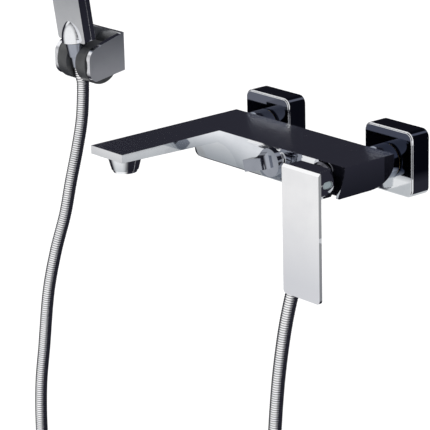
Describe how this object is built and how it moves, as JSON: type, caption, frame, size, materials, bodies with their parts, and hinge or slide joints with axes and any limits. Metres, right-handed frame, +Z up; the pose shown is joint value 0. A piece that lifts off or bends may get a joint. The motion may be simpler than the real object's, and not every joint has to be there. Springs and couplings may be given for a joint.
{
  "type": "wall mounted bath faucet",
  "caption": "Wall mounted bath faucet: slab mixer body with a flat spout, a plate lever, a diverter knob, a metal hose and a stick hand shower in a tilting wall bracket.",
  "frame": {"origin": "on the wall plane, midway between the hot and the cold inlet, at the height of their axes", "axes": "+Y into the wall, -Y out of the front, +X to the right as seen from the front, +Z up"},
  "size_m": [0.457, 0.211, 0.7852],
  "materials": {
    "chrome": "polished chrome plate on brass or zinc",
    "brass": "turned brass",
    "steel": "plain steel",
    "chromed_plastic": "polished chrome plate on plastic",
    "grey_plastic": "satin dark grey plastic",
    "white_plastic": "moulded white plastic",
    "orange_plastic": "moulded orange plastic",
    "blue_plastic": "moulded blue plastic",
    "ceramic": "lapped ceramic, listed as gloss plastic",
    "rubber": "black rubber",
    "grey_rubber": "soft grey rubber"
  },
  "bodies": {
    "faucet": {"valve_body": "chrome", "aerator_housing": "chrome", "aerator_insert": "white_plastic", "aerator_washer": "rubber", "hot_union": "brass", "cold_union": "brass", "hot_wall_plate": "chrome", "cold_wall_plate": "chrome", "wall_plate_seals": "grey_rubber", "hot_union_nut": "chrome", "cold_union_nut": "chrome", "hot_tailpiece": "brass", "cold_tailpiece": "brass", "filter_washers": "grey_rubber", "hot_check_housing": "blue_plastic", "cold_check_housing": "blue_plastic", "cartridge_housing": "white_plastic", "cartridge_seal": "grey_rubber", "fixed_disc": "ceramic", "retaining_nut": "brass", "dome_cap": "chrome", "diverter_sleeve": "chrome", "diverter_seals": "rubber", "outlet_nipple": "chrome", "outlet_seal": "rubber", "outlet_washer": "rubber", "hose_nut": "chrome", "outlet_ferrule": "chrome", "shower_hose": "chrome", "bracket_frame": "chrome", "pivot_pins": "steel", "friction_washers": "rubber", "bracket_wall_plate": "steel", "bracket_grub_screw": "steel"},
    "rotor": {"cartridge_rotor": "grey_plastic", "pivot_pin": "steel"},
    "lever": {"lever_stem": "steel", "lever_handle": "chrome", "lever_screw": "steel", "lever_screw_cap": "grey_plastic"},
    "disc": {"moving_disc": "ceramic", "disc_carrier": "grey_plastic"},
    "knob": {"diverter_spindle": "brass", "diverter_knob": "chrome", "knob_screw": "steel"},
    "hot_check": {"hot_check_poppet": "white_plastic"},
    "cold_check": {"cold_check_poppet": "white_plastic"},
    "holder": {"bracket_core": "grey_plastic"},
    "handset": {"cone_nut": "chrome", "cone_washer": "rubber", "cone_ferrule": "chrome", "shower_back_shell": "chromed_plastic", "shower_front_shell": "chromed_plastic", "shower_inlet": "brass", "flow_restrictor": "blue_plastic", "spray_plate": "chromed_plastic", "spray_nozzles": "grey_rubber"}
  },
  "joints": [
    {"name": "lever_turn", "type": "hinge", "parent": "faucet", "child": "rotor", "pos_m": [0.075, -0.08, 0.0013], "axis": [0, 1, 0], "range_deg": [-45, 45]},
    {"name": "lever_lift", "type": "hinge", "parent": "rotor", "child": "lever", "pos_m": [0.075, -0.0784, 0.0013], "axis": [-1, 0, 0], "range_deg": [0, 20]},
    {"name": "disc_slide", "type": "slide", "parent": "rotor", "child": "disc", "axis": [0, 0, -1], "range_m": [0, 0.0025]},
    {"name": "knob_turn", "type": "hinge", "parent": "faucet", "child": "knob", "pos_m": [0.024, -0.1, 0.005], "axis": [0, 1, 0], "range_deg": [0, 90]},
    {"name": "hot_check_open", "type": "slide", "parent": "faucet", "child": "hot_check", "axis": [0, -1, 0], "range_m": [0, 0.0015], "stiffness_N_per_m": 100, "springref_m": -0.001},
    {"name": "cold_check_open", "type": "slide", "parent": "faucet", "child": "cold_check", "axis": [0, -1, 0], "range_m": [0, 0.0015], "stiffness_N_per_m": 100, "springref_m": -0.001},
    {"name": "holder_tilt", "type": "hinge", "parent": "faucet", "child": "holder", "pos_m": [-0.327, -0.0235, 0.0155], "axis": [1, 0, 0], "range_deg": [-8, 20], "deforming": ["shower_hose"]},
    {"name": "handset_lift", "type": "slide", "parent": "holder", "child": "handset", "axis": [0, -0.1392, 0.9903], "range_m": [0, 0.03], "deforming": ["shower_hose"]}
  ],
  "couplings": [
    {"joint": "disc_slide", "follows": "lever_lift", "m_per_rad": 0.0071}
  ]
}
